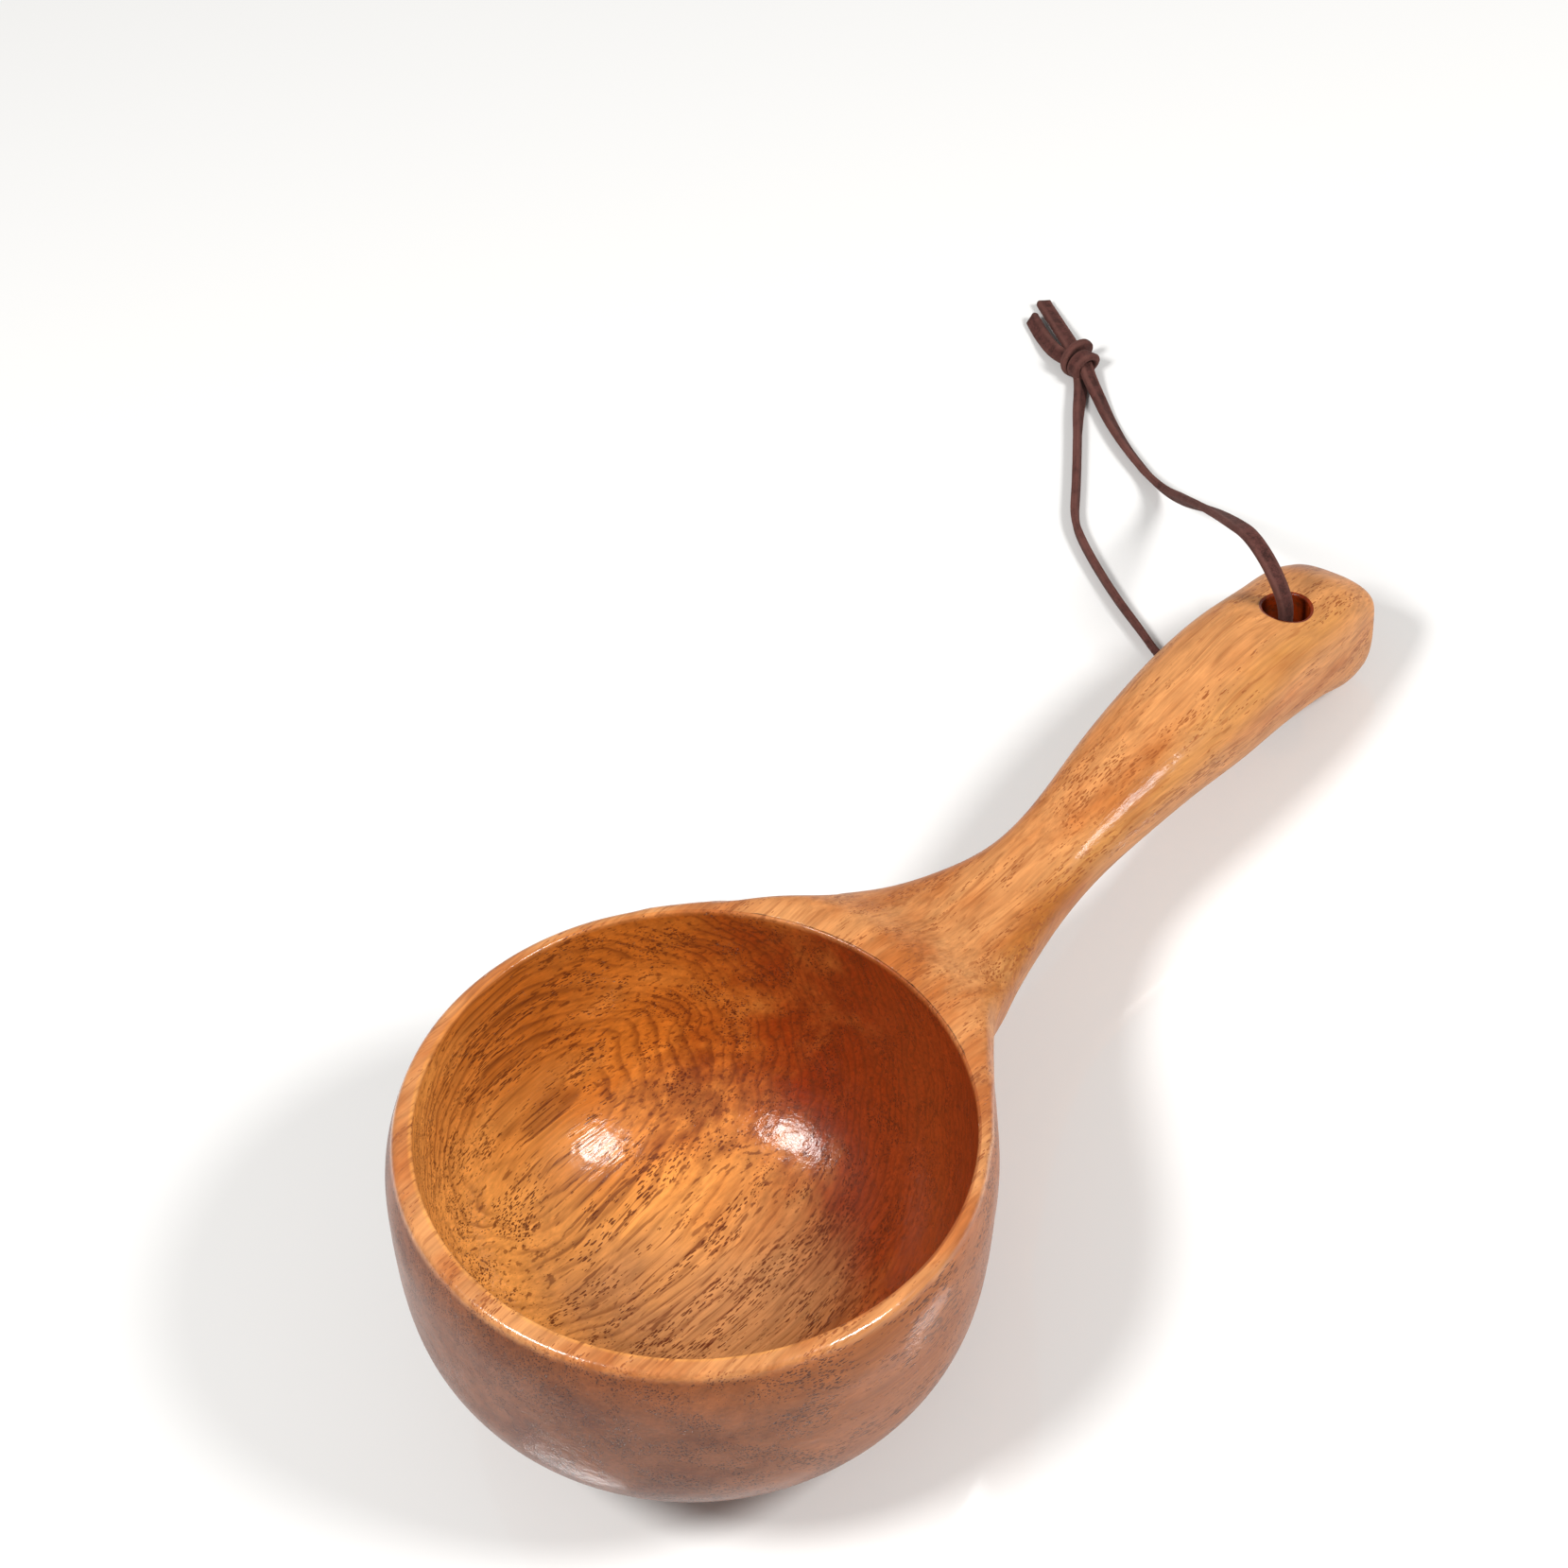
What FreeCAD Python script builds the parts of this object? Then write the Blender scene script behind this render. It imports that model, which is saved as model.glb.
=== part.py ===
import FreeCAD, Part
import math
import os

# Wooden water dipper: a bowl and its handle carved from one block, with a suede lace
# looped through the hanging hole at the end of the handle.
# Sizes are in millimetres and angles in degrees. The dipper is carved with its rim level
# (Z up from the rim plane, X from the bowl's axis along the handle), and is then laid back
# the way it rests on a table: on the round of the bowl and the end of the handle.

# Bowl, outside
bowl_radius = 61.8          # widest part of the wall, below the rim
bowl_height = 64.0          # rim plane to the underside
bowl_belly_drop = 12.0      # how far below the rim the wall is widest
wall_radius = 235.0         # of the slow curve down the wall
wall_turn = 6.2             # how far that curve turns inwards
shoulder_radius = 27.8      # where the wall turns under
foot_cut = 4.9              # what the flat underneath takes off the round of the bowl

# Rim
rim_inset = 1.8             # the rim's outer edge lies this far inside the widest wall
rim_width = 3.4             # outer edge to the hollow, on average
rim_fall_width = 1.6        # the outermost part of the rim's face, worn down outwards
rim_fall = 1.5              # how far that part falls
rim_fall_bulge = 0.38       # roundness of the fall, off the straight line
lip_radius = 0.5            # rounding of the inner edge

# Bowl, inside
floor_thickness = 7.0
cavity_wall_radius = 112.0
cavity_wall_turn = 13.5
cavity_shoulder_radius = 36.6
cavity_offset = 1.4         # the hollow sits a little nearer to the handle

# Handle
handle_reach = 220.4        # bowl axis to the end of the handle
grip_half_width = 15.0      # at the widest part of the grip
grip_depth = 24.0           # thickness of the grip
grip_rise = 3.3             # the grip's crown stands this far above the rim plane
neck_drop = 8.7             # the neck's top lies this far below the rim plane
end_roll = 10.3             # carved twist of the handle's end about its length
end_lean = 2.0              # top of the end face stands out this far past its middle

# Hanging hole
hole_radius = 5.4
hole_from_end = 23.4        # end of the handle to the hole's axis
hole_side = -1.1            # off the handle's middle line
hole_mouth_radius = 0.7     # softened edge at both mouths

cut_overrun = 10.0          # how far a cutting solid passes what it cuts
measuring_step = 0.02       # closeness of the points that the resting pose is measured on

# Places along the handle, from the bowl to the end. The shares are, in order: place (of
# handle_reach), half width (of grip_half_width), top (of grip_rise above the rim plane, of
# neck_drop below it), underside below the rim plane (of grip_depth), crown height from the
# widest line to the top (of grip_depth), twist (of end_roll and end_lean), and last the
# roundness of the top and of the underside, where 2 is an ellipse and more is squarer.
# The first three stand a little proud of the rim plane, and the level cut takes that off.
station_shares = [
    (0.172, 3.04, 0.55, 2.20, 0.20, 0.00, 3.2, 2.2),
    (0.236, 2.37, 0.50, 1.97, 0.19, 0.00, 3.2, 2.2),
    (0.268, 2.00, 0.30, 1.64, 0.19, 0.00, 3.2, 2.2),
    (0.299, 1.67, -0.13, 1.37, 0.19, 0.00, 3.2, 2.2),
    (0.331, 1.48, -0.48, 1.26, 0.20, 0.00, 3.1, 2.2),
    (0.363, 1.29, -0.74, 1.19, 0.22, 0.00, 3.0, 2.2),
    (0.426, 0.97, -0.99, 1.15, 0.26, 0.00, 2.8, 2.3),
    (0.490, 0.75, -1.00, 1.12, 0.29, 0.00, 2.5, 2.3),
    (0.554, 0.71, -0.63, 1.03, 0.32, 0.00, 2.4, 2.3),
    (0.626, 0.82, -0.14, 0.94, 0.34, 0.04, 2.3, 2.3),
    (0.699, 0.92, 0.58, 0.93, 0.37, 0.24, 2.3, 2.3),
    (0.771, 1.00, 0.94, 0.98, 0.38, 0.55, 2.3, 2.3),
    (0.844, 0.99, 1.00, 0.995, 0.39, 0.84, 2.4, 2.5),
    (0.912, 0.95, 0.30, 1.035, 0.42, 0.99, 2.7, 3.2),
    (0.958, 0.90, -0.14, 1.19, 0.40, 1.00, 2.7, 3.3),
    (0.980, 0.85, -0.44, 1.21, 0.34, 1.00, 2.7, 3.3),
    (0.993, 0.74, -0.76, 1.14, 0.23, 1.00, 2.7, 3.3),
    (1.000, 0.54, -1.11, 0.99, 0.13, 1.00, 2.7, 3.3),
]
level_share = 0.33          # the rim plane is cut on along the handle as far as this
section_points = 24         # points on one section of the handle
mouth_points = 12           # points that tell which edges lie round the hole
resting_turns = 8           # corrections while the resting lean is worked out

# Lace: flat suede
lace_width = 3.8
lace_thickness = 1.8
bore_turn = -8.0            # heading of the lace's width inside the bore
shoulder_room_share = 0.95  # of the height left under the wall, the most a shoulder takes
bend_share = 0.45           # of the shorter run beside it, taken up by a bend

# The lace's way from the middle of the bore to the knot, over the top of the handle and
# under it: along and across from the hole's axis, and height above the table.
upper_route = [
    (0.1, 0.6, 20.7), (1.2, -0.3, 27.3), (2.1, -0.5, 34.2), (1.9, 0.8, 41.4), (3.4, 5.4, 46.6),
    (6.4, 12.5, 47.4), (10.1, 19.9, 42.0), (16.0, 28.7, 32.6), (21.8, 38.7, 22.6),
    (27.1, 48.8, 12.4), (31.4, 58.1, 4.6), (34.9, 67.3, 1.6), (37.8, 75.1, 1.6),
    (41.7, 83.0, 1.6), (46.7, 91.1, 2.1), (50.2, 97.3, 3.9), (53.0, 101.0, 4.9),
]
lower_route = [
    (0.1, 0.6, 20.7), (-1.0, 1.5, 14.1), (-1.9, 3.0, 8.6), (-2.4, 3.6, 4.6), (-2.8, 6.3, 2.1),
    (-4.1, 10.9, 1.6), (-6.5, 17.1, 1.6), (-8.1, 23.9, 1.6), (-7.0, 30.8, 1.6),
    (-3.5, 38.8, 1.6), (-0.1, 47.6, 1.6), (4.1, 56.7, 1.6), (8.5, 65.1, 1.6), (13.1, 72.2, 1.6),
    (21.5, 78.2, 1.6), (30.2, 84.8, 1.6), (38.9, 91.6, 1.6), (45.5, 96.0, 1.6),
    (49.1, 98.8, 1.9), (51.4, 101.4, 2.7),
]

# Knot: both ends of the lace tied together, with the two ends left over
knot_place = (52.4, 101.5)  # along and across from the hole's axis
knot_heading = -49.0        # of its long axis
wrap_radius = 2.0           # inside the turns of lace
wrap_spread = 1.2           # each of the two turns stands this far off the middle
wrap_tilt = 24.0            # and leans this much out of square
bundle_radius = 2.9         # of the lace that the turns go round
bundle_half_length = 4.6
bundle_end_radius = 1.6
bundle_taper = 1.5
knot_clearance = 0.05       # above the table
first_end_route = [(53.2, 102.8, 3.9), (55.8, 107.4, 3.3), (59.8, 115.0, 2.3), (63.8, 122.4, 1.2)]
second_end_route = [(51.6, 102.6, 3.9), (51.3, 107.0, 3.2), (53.7, 113.8, 2.2), (57.8, 121.2, 1.2)]

rim_radius = bowl_radius - rim_inset
cavity_radius = rim_radius - rim_width
cavity_depth = bowl_height - floor_thickness
hole_reach = handle_reach - hole_from_end


def vector(x, y, z):
    return FreeCAD.Vector(x, y, z)


def arc_in_xz(middle, radius, first, last):
    """Arc from one angle to another, both in radians below the horizontal."""
    angles = (first, (first + last) / 2, last)
    points = [middle + vector(math.cos(a), 0, -math.sin(a)) * radius for a in angles]
    return Part.Arc(*points).toShape()


def round_profile(top, lowest, upper_radius, turn, lower_radius, end):
    """Three tangent arcs in XZ: down the wall, round the shoulder and across to the axis.

    The last arc would reach the axis at the lowest height, and stops at the end height. A shoulder
    too large for the height is made as large as there is room for.
    """
    first = math.radians(turn)
    room = (top.z - lowest - upper_radius * math.sin(first)) / (1 - math.sin(first))
    lower_radius = min(lower_radius, shoulder_room_share * room)
    upper_middle = top - vector(upper_radius, 0, 0)
    way = vector(math.cos(first), 0, -math.sin(first))
    lower_middle = upper_middle + way * (upper_radius - lower_radius)
    left = lower_middle.z - lowest - lower_radius
    second = 2 * math.atan2(lower_middle.x, left) - math.pi / 2
    across_radius = lower_radius + left / (1 - math.sin(second))
    across_middle = vector(0, 0, lowest + across_radius)
    third = math.asin(min(1, (across_middle.z - end) / across_radius))
    return [
        arc_in_xz(upper_middle, upper_radius, 0, first),
        arc_in_xz(lower_middle, lower_radius, first, second),
        arc_in_xz(across_middle, across_radius, second, third),
    ]


def revolved(edges):
    """Solid of a closed XZ outline turned about the Z axis."""
    face = Part.Face(Part.Wire(edges))
    return face.revolve(vector(0, 0, 0), vector(0, 0, 1), 360)


def bulged(start, end, bulge):
    """Arc between two XZ points that stands off their straight line by the bulge."""
    across = end - start
    outwards = vector(-across.z, 0, across.x).normalize()
    return Part.Arc(start, (start + end) / 2 + outwards * bulge, end).toShape()


def bowl_solid():
    belly = vector(bowl_radius, 0, -bowl_belly_drop)
    outside = round_profile(
        belly, -bowl_height - foot_cut, wall_radius, wall_turn, shoulder_radius, -bowl_height
    )
    rim_flat = vector(rim_radius - rim_fall_width, 0, 0)
    rim_edge = vector(rim_radius, 0, -rim_fall)
    rise = bowl_belly_drop - rim_fall
    upper_radius = (rise ** 2 + rim_inset ** 2) / (2 * rim_inset)
    upper_bulge = upper_radius - math.sqrt(upper_radius ** 2 - (rise ** 2 + rim_inset ** 2) / 4)
    blank_edge = rim_flat + vector(0, 0, cut_overrun)
    axis_top = vector(0, 0, cut_overrun)
    axis_foot = vector(0, 0, -bowl_height)
    foot_edge = outside[-1].Vertexes[-1].Point
    return revolved([
        Part.makeLine(axis_foot, axis_top),
        Part.makeLine(axis_top, blank_edge),
        Part.makeLine(blank_edge, rim_flat),
        bulged(rim_flat, rim_edge, rim_fall_bulge),
        bulged(rim_edge, belly, upper_bulge),
        *outside,
        Part.makeLine(foot_edge, axis_foot),
    ])


def cavity_solid():
    edge = vector(cavity_radius, 0, 0)
    inside = round_profile(
        edge, -cavity_depth, cavity_wall_radius, cavity_wall_turn, cavity_shoulder_radius,
        -cavity_depth
    )
    bottom = vector(0, 0, -cavity_depth)
    top = vector(0, 0, cut_overrun)
    edge_top = vector(cavity_radius, 0, cut_overrun)
    solid = revolved([
        Part.makeLine(bottom, top),
        Part.makeLine(top, edge_top),
        Part.makeLine(edge_top, edge),
        *inside,
    ])
    solid.translate(vector(cavity_offset, 0, 0))
    return solid


def station_sizes(row):
    place, width, top, under, crown, twist, round_top, round_under = row
    return {
        "x": place * handle_reach,
        "half_width": width * grip_half_width,
        "top": top * (grip_rise if top > 0 else neck_drop),
        "under": -under * grip_depth,
        "crown": crown * grip_depth,
        "twist": twist,
        "round_top": round_top,
        "round_under": round_under,
    }


def section_loop(row):
    """Points round the handle at one station."""
    s = station_sizes(row)
    widest = s["top"] - s["crown"]
    middle = (s["top"] + s["under"]) / 2
    half_depth = (s["top"] - s["under"]) / 2
    roll = math.radians(end_roll) * s["twist"]
    points = []
    for i in range(section_points):
        angle = 2 * math.pi * i / section_points
        c, d = math.cos(angle), math.sin(angle)
        power = 2 / (s["round_top"] if d > 0 else s["round_under"])
        height = s["crown"] if d > 0 else widest - s["under"]
        y = math.copysign(abs(c) ** power, c) * s["half_width"]
        z = widest + math.copysign(abs(d) ** power, d) * height - middle
        turned_y = y * math.cos(roll) + z * math.sin(roll)
        turned_z = z * math.cos(roll) - y * math.sin(roll)
        x = s["x"] + end_lean * s["twist"] * turned_z / half_depth
        points.append(vector(x, turned_y, middle + turned_z))
    return points


def handle_solid():
    wires = []
    for row in station_shares:
        curve = Part.BSplineCurve()
        steps = [float(i) for i in range(section_points + 1)]
        curve.interpolate(Points=section_loop(row), Parameters=steps, PeriodicFlag=True)
        wires.append(Part.Wire(curve.toShape()))
    return Part.makeLoft(wires, True, False)


def level_cut():
    """Block over the bowl: what it removes leaves the rim and the handle's root in one plane."""
    side = 2 * (bowl_radius + cut_overrun)
    corner = vector(handle_reach * level_share - side, -side / 2, 0)
    return Part.makeBox(side, side, 2 * cut_overrun, corner)


def hole_solid():
    start = vector(hole_reach, hole_side, -bowl_height)
    return Part.makeCylinder(hole_radius, bowl_height + grip_rise + cut_overrun, start)


def is_mouth(edge):
    """Whether an edge of the carved body lies round one mouth of the hanging hole."""
    if edge.Length < hole_mouth_radius or edge.BoundBox.ZLength > hole_radius:
        return False
    offs = [
        math.hypot(p.x - hole_reach, p.y - hole_side) for p in edge.discretize(mouth_points)
    ]
    return max(abs(off - hole_radius) for off in offs) < hole_radius / 100


def is_lip(edge):
    """Whether an edge of the carved body is the inner edge of the rim."""
    box = edge.BoundBox
    ring = abs(box.YLength / 2 - cavity_radius) < cavity_radius / 1000
    return ring and abs(box.ZMin) < lip_radius / 10 and abs(box.ZMax) < lip_radius / 10


def carved_body():
    body = bowl_solid().fuse(handle_solid())
    body = body.cut(level_cut())
    body = body.cut(cavity_solid())
    body = body.cut(hole_solid())
    body = body.makeFillet(lip_radius, [e for e in body.Edges if is_lip(e)])
    body = body.makeFillet(hole_mouth_radius, [e for e in body.Edges if is_mouth(e)])
    return body.Solids[0]


def leaned(x, z, lean):
    return x * math.cos(lean) + z * math.sin(lean), z * math.cos(lean) - x * math.sin(lean)


def resting_place(body):
    """Lean of the dipper on a table, and the shift that brings the middle of its base to zero."""
    points = body.tessellate(measuring_step)[0]
    bowl = [p for p in points if p.x < bowl_radius]
    end = [p for p in points if p.x > hole_reach]
    lean = 0
    for turn in range(resting_turns):
        under_bowl = min(bowl, key=lambda p: leaned(p.x, p.z, lean)[1])
        under_end = min(end, key=lambda p: leaned(p.x, p.z, lean)[1])
        lean = math.atan2(under_end.z - under_bowl.z, under_end.x - under_bowl.x)
    placed = [leaned(p.x, p.z, lean) for p in points]
    xs = [p[0] for p in placed]
    zs = [p[1] for p in placed]
    ys = [p.y for p in points]
    shift = vector(-(min(xs) + max(xs)) / 2, -(min(ys) + max(ys)) / 2, -min(zs))
    return lean, shift


def route_points(rows, hole):
    return [vector(hole.x + along, hole.y + across, height) for along, across, height in rows]


def lace_band(name, points, across):
    """Flat lace along straight runs joined by tangent arcs, its width along across at first."""
    runs = [b - a for a, b in zip(points, points[1:])]
    edges = []
    radii = []
    last = points[0]
    for i in range(1, len(points) - 1):
        back, ahead = runs[i - 1], runs[i]
        reach = bend_share * min(back.Length, ahead.Length)
        half_turn = back.getAngle(ahead) / 2
        radii.append(reach / math.tan(half_turn))
        into = points[i] - back * (reach / back.Length)
        out = points[i] + ahead * (reach / ahead.Length)
        inwards = (into + out) / 2 - points[i]
        sagitta = radii[-1] / math.cos(half_turn) - radii[-1]
        middle = points[i] + inwards * (sagitta / inwards.Length)
        edges.append(Part.makeLine(last, into))
        edges.append(Part.Arc(into, middle, out).toShape())
        last = out
    edges.append(Part.makeLine(last, points[-1]))
    path = Part.Wire(edges)
    width_way = across - runs[0] * (across.dot(runs[0]) / runs[0].Length ** 2)
    thick_way = runs[0].cross(width_way)
    half_width = width_way.normalize() * (lace_width / 2)
    half_thickness = thick_way.normalize() * (lace_thickness / 2)
    corners = [
        points[0] + half_width + half_thickness,
        points[0] + half_width - half_thickness,
        points[0] - half_width - half_thickness,
        points[0] - half_width + half_thickness,
    ]
    section = Part.makePolygon(corners + corners[:1])
    band = path.makePipeShell([section], True, False)
    print(name, "length", round(path.Length, 2), "volume", round(band.Volume, 2),
          "section x length", round(lace_width * lace_thickness * path.Length, 2),
          "least radius", round(min(radii), 2), "in widths", round(min(radii) / lace_width, 2))
    print(name, "radii", [round(r, 1) for r in radii])
    return band


def turn_of_lace():
    """One flat turn of the lace round the bundle, about the X axis."""
    outer = Part.makeCylinder(
        wrap_radius + lace_thickness, lace_width, vector(-lace_width / 2, 0, 0), vector(1, 0, 0)
    )
    inner = Part.makeCylinder(
        wrap_radius, 2 * lace_width, vector(-lace_width, 0, 0), vector(1, 0, 0)
    )
    return outer.cut(inner)


def knot_solid(hole):
    """Two crossing turns of lace round their bundle, with both ends of the lace."""
    height = wrap_radius + lace_thickness + knot_clearance
    centre = vector(hole.x + knot_place[0], hole.y + knot_place[1], height)
    outline = Part.makePolygon([
        vector(-bundle_half_length, 0, 0),
        vector(-bundle_half_length, bundle_end_radius, 0),
        vector(-bundle_half_length + bundle_taper, bundle_radius, 0),
        vector(bundle_half_length - bundle_taper, bundle_radius, 0),
        vector(bundle_half_length, bundle_end_radius, 0),
        vector(bundle_half_length, 0, 0),
        vector(-bundle_half_length, 0, 0),
    ])
    knot = Part.Face(outline).revolve(vector(0, 0, 0), vector(1, 0, 0), 360)
    for side in (1, -1):
        turn = turn_of_lace()
        turn.rotate(vector(0, 0, 0), vector(0, 0, 1), side * wrap_tilt)
        turn.translate(vector(side * wrap_spread, 0, 0))
        knot = knot.fuse(turn)
    knot.rotate(vector(0, 0, 0), vector(0, 0, 1), knot_heading)
    knot.translate(centre)
    level = vector(1, 0, 0)
    knot = knot.fuse(lace_band("first end", route_points(first_end_route, hole), level))
    knot = knot.fuse(lace_band("second end", route_points(second_end_route, hole), level))
    return knot.Solids[0]


os.makedirs("parts", exist_ok=True)

body = carved_body()
lean, shift = resting_place(body)
body.rotate(vector(0, 0, 0), vector(0, 1, 0), math.degrees(lean))
body.translate(shift)
hole_height = -grip_depth / 2
hole_x, hole_z = leaned(hole_reach, hole_height, lean)
hole_middle = vector(hole_x, hole_side, hole_z) + shift

knot = knot_solid(hole_middle)
bore_across = vector(math.cos(math.radians(bore_turn)), math.sin(math.radians(bore_turn)), 0)
upper = lace_band("upper strand", route_points(upper_route, hole_middle), bore_across).cut(knot)
lower = lace_band("lower strand", route_points(lower_route, hole_middle), bore_across).cut(knot)

parts = {
    "dipper_body": body,
    "lace_upper_strand": upper.Solids[0],
    "lace_lower_strand": lower.Solids[0],
    "lace_knot": knot,
}
print("lean", round(math.degrees(lean), 4), "shift", shift, "middle of the bore", hole_middle)
for name, shape in parts.items():
    box = shape.BoundBox
    print(name, shape.ShapeType, shape.isValid(), "solids", len(shape.Solids), "faces",
          len(shape.Faces), "volume", round(shape.Volume, 1), "x", round(box.XMin, 1),
          round(box.XMax, 1), "y", round(box.YMin, 1), round(box.YMax, 1), "z",
          round(box.ZMin, 3), round(box.ZMax, 1))
    shape.exportStep("parts/" + name + ".step")
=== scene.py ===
import math
import bpy
import numpy as np
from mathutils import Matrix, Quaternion, Vector
from mathutils.bvhtree import BVHTree


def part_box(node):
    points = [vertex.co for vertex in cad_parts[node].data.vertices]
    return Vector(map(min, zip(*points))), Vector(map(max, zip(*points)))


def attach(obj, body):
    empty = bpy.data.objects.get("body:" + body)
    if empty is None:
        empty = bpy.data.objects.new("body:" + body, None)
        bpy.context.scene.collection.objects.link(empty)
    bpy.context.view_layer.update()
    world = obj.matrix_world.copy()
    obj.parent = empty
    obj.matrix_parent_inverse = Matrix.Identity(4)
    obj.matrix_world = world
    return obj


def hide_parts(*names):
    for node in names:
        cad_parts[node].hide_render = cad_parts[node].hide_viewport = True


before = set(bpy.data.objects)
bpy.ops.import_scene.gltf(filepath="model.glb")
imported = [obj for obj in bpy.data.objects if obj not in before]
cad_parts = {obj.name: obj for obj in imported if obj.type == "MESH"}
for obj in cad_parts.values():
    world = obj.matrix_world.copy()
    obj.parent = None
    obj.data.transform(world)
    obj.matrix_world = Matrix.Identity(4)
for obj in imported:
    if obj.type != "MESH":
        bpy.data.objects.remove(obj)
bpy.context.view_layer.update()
print("frame loaded:", sorted(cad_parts))

mm = 0.001


# Camera at the photograph's viewing angle: a long lens from the front left, slightly rolled
photoCamera = {
    "place": (-0.3098, -0.3443, 0.7519),
    "aim": (0.0304, 0.0787, 0.0),      # where the middle of the picture meets the table
    "roll": 12.52,                     # degrees
    "lens": 91.54,                     # mm on a 36 mm sensor
}


def addCamera(s):
    data = bpy.data.cameras.new("photoCamera")
    data.lens = s["lens"]
    data.sensor_width = 36
    data.clip_start = 0.05
    data.clip_end = 20
    camera = bpy.data.objects.new("photoCamera", data)
    bpy.context.scene.collection.objects.link(camera)
    camera.location = s["place"]
    way = Vector(s["aim"]) - Vector(s["place"])
    turn = Quaternion((0, 0, 1), math.radians(-s["roll"]))
    camera.rotation_mode = "QUATERNION"
    camera.rotation_quaternion = way.to_track_quat("-Z", "Y") @ turn
    bpy.context.scene.camera = camera


# Colours are written as sRGB hex and go through one converter
def colour(hexCode):
    parts = [int(hexCode[i:i + 2], 16) / 255 for i in (1, 3, 5)]
    return [c / 12.92 if c <= 0.04045 else ((c + 0.055) / 1.055) ** 2.4 for c in parts] + [1]


# Adds one node: settings are its properties, inputs are values or the sockets that feed it
def addNode(tree, kind, settings=None, inputs=None, output=0):
    node = tree.nodes.new(kind)
    for name, value in (settings or {}).items():
        setattr(node, name, value)
    for name, value in (inputs or {}).items():
        if isinstance(value, bpy.types.NodeSocket):
            tree.links.new(value, node.inputs[name])
        else:
            node.inputs[name].default_value = value
    return node.outputs[output] if node.outputs else None


def newMaterial(name):
    material = bpy.data.materials.new(name)
    material.use_nodes = True
    material.node_tree.nodes.clear()
    return material, material.node_tree


def finishMaterial(tree, shader):
    addNode(tree, "ShaderNodeOutputMaterial", None, {"Surface": shader})


def newPiece(name, verts, faces, material, smooth=True):
    mesh = bpy.data.meshes.new(name)
    mesh.from_pydata([tuple(v) for v in verts], [], [tuple(f) for f in faces])
    mesh.validate()
    mesh.materials.append(material)
    mesh.polygons.foreach_set("use_smooth", [smooth] * len(mesh.polygons))
    mesh.update()
    piece = bpy.data.objects.new(name, mesh)
    bpy.context.scene.collection.objects.link(piece)
    return piece


def finalMesh(holder):
    graph = bpy.context.evaluated_depsgraph_get()
    return bpy.data.meshes.new_from_object(holder.evaluated_get(graph))


# Floor: pale, slightly glossy board, so that the soft boxes show again low on the bowl's wall
floorBoard = {"size": 8.0, "tint": "#e4e3e1", "roughness": 0.06, "ior": 1.7}


def addFloor(s):
    half = s["size"] / 2
    verts = [(-half, -half, 0), (half, -half, 0), (half, half, 0), (-half, half, 0)]
    material, tree = newMaterial("whiteAcrylicBoard")
    shader = addNode(tree, "ShaderNodeBsdfPrincipled", None, {
        "Base Color": colour(s["tint"]), "Roughness": s["roughness"], "IOR": s["ior"],
    })
    finishMaterial(tree, shader)
    floor = newPiece("floor", verts, [(0, 1, 2, 3)], material, smooth=False)


# Studio light: two soft boxes whose mirror images lie where the photograph shows them
studioLight = {
    "subject": (-0.06, 0.01, 0.03),
    "boxes": (
        # way to the light, distance, width, height, power
        ((0.324, -0.591, 0.739), 1.15, 0.28, 0.28, 10.5),
        ((-0.447, 0.199, 0.872), 1.15, 0.30, 0.30, 11.5),
    ),
    "fill": "#ffffff",
    "fillStrength": 0.34,
}


def addLights(s):
    subject = Vector(s["subject"])
    for number, (way, distance, width, height, power) in enumerate(s["boxes"]):
        data = bpy.data.lights.new("softBox%d" % (number + 1), "AREA")
        data.shape = "ELLIPSE"
        data.size = width
        data.size_y = height
        data.energy = power
        light = bpy.data.objects.new(data.name, data)
        bpy.context.scene.collection.objects.link(light)
        out = Vector(way).normalized()
        light.location = subject + out * distance
        light.rotation_mode = "QUATERNION"
        light.rotation_quaternion = (-out).to_track_quat("-Z", "Y")
    world = bpy.data.worlds.new("studio")
    bpy.context.scene.world = world
    world.use_nodes = True
    tree = world.node_tree
    tree.nodes.clear()
    sky = addNode(tree, "ShaderNodeBackground", None, {
        "Color": colour(s["fill"]), "Strength": s["fillStrength"],
    })
    addNode(tree, "ShaderNodeOutputWorld", None, {"Surface": sky})


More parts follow.
